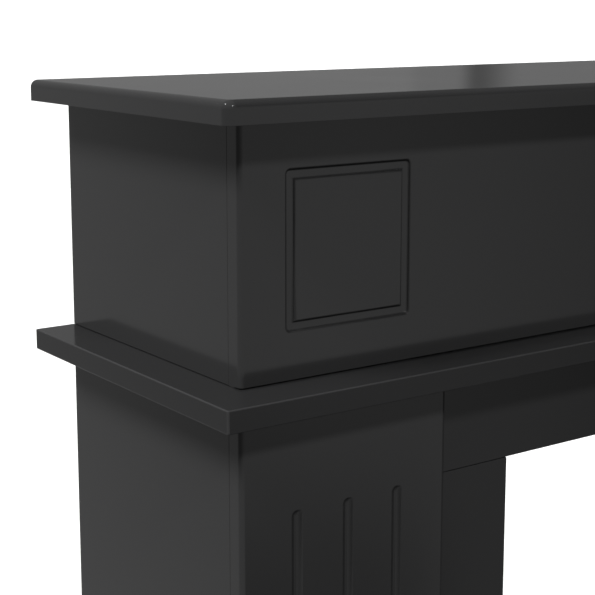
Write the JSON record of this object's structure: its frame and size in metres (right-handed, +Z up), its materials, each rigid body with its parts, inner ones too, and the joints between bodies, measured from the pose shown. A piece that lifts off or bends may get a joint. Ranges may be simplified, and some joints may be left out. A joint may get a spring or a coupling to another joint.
{
  "type": "fireplace mantelpiece",
  "caption": "Free-standing fireplace mantelpiece of dark foiled boards, with a frieze box under the shelf, a projecting ledge and fluted legs around the fire opening.",
  "frame": {"origin": "on the floor, under the centre of the outline seen from above", "axes": "+Z up, the front looks towards -Y and the back edges stand in the plane y = 0.1585, +X to the right seen from the front"},
  "size_m": [1.254, 0.317, 1],
  "materials": {
    "pressed_foil": "fibreboard with a satin charcoal foil pressed over its face, its rounded edges and its routed grooves",
    "board_foil": "fibreboard wrapped in satin charcoal foil, with square edges",
    "shelf_foil": "fibreboard with a smoother satin charcoal foil pressed over its rounded upper edge"
  },
  "bodies": {
    "root": {"base": "board_foil", "pilaster_left": "pressed_foil", "leg_side_left": "board_foil", "jamb_left": "board_foil", "leg_return_left": "board_foil", "pilaster_right": "pressed_foil", "leg_side_right": "board_foil", "jamb_right": "board_foil", "leg_return_right": "board_foil", "lintel": "board_foil", "ledge": "board_foil", "frieze_front": "pressed_foil", "frieze_end_left": "board_foil", "frieze_end_right": "board_foil", "frieze_back_rail": "board_foil", "shelf": "shelf_foil"}
  },
  "joints": []
}
